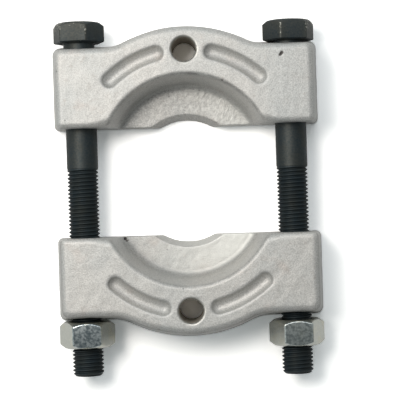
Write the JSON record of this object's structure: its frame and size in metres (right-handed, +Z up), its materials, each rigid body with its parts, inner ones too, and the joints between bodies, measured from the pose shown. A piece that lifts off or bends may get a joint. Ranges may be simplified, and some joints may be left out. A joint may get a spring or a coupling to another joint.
{
  "type": "bearing separator",
  "caption": "Bearing separator: cast half jaws with a wedge-edged web, drawn together by long hex bolts and nuts to lift a bearing off its shaft.",
  "frame": {"origin": "middle of the whole separator, on the flat back that it lies on", "axes": "+X across the bolts, +Y along the bolts towards the heads, +Z up out of the pocketed face"},
  "size_m": [0.1054, 0.1394, 0.025],
  "materials": {
    "jaw_steel": "blasted satin silver plating on cast steel",
    "bolt_steel": "black oxide",
    "nut_zinc": "bright zinc plating"
  },
  "bodies": {
    "upper_jaw": {"upper_jaw": "jaw_steel"},
    "lower_jaw": {"lower_jaw": "jaw_steel"},
    "left_bolt": {"bolt_left": "bolt_steel"},
    "right_bolt": {"bolt_right": "bolt_steel"},
    "left_nut": {"nut_left": "nut_zinc"},
    "right_nut": {"nut_right": "nut_zinc"}
  },
  "joints": [
    {"name": "jaw_slide", "type": "slide", "parent": "upper_jaw", "child": "lower_jaw", "axis": [0, 1, 0], "range_m": [-0.009, 0.0425]},
    {"name": "nut_left_turn", "type": "hinge", "parent": "lower_jaw", "child": "left_nut", "pos_m": [-0.041, -0.05209, 0.0125], "axis": [0, 1, 0], "range_deg": [-2180, 10240]},
    {"name": "nut_right_turn", "type": "hinge", "parent": "lower_jaw", "child": "right_nut", "pos_m": [0.041, -0.05349, 0.0125], "axis": [0, 1, 0], "range_deg": [-2180, 10240]},
    {"name": "bolt_left_turn", "type": "hinge", "parent": "upper_jaw", "child": "left_bolt", "pos_m": [-0.041, 0.0617, 0.0125], "axis": [0, 1, 0], "continuous": true},
    {"name": "bolt_right_turn", "type": "hinge", "parent": "upper_jaw", "child": "right_bolt", "pos_m": [0.041, 0.0603, 0.0125], "axis": [0, 1, 0], "continuous": true}
  ],
  "couplings": [
    {"joint": "nut_left_turn", "follows": "jaw_slide", "rad_per_m": 4188.8},
    {"joint": "nut_right_turn", "follows": "jaw_slide", "rad_per_m": 4188.8}
  ]
}
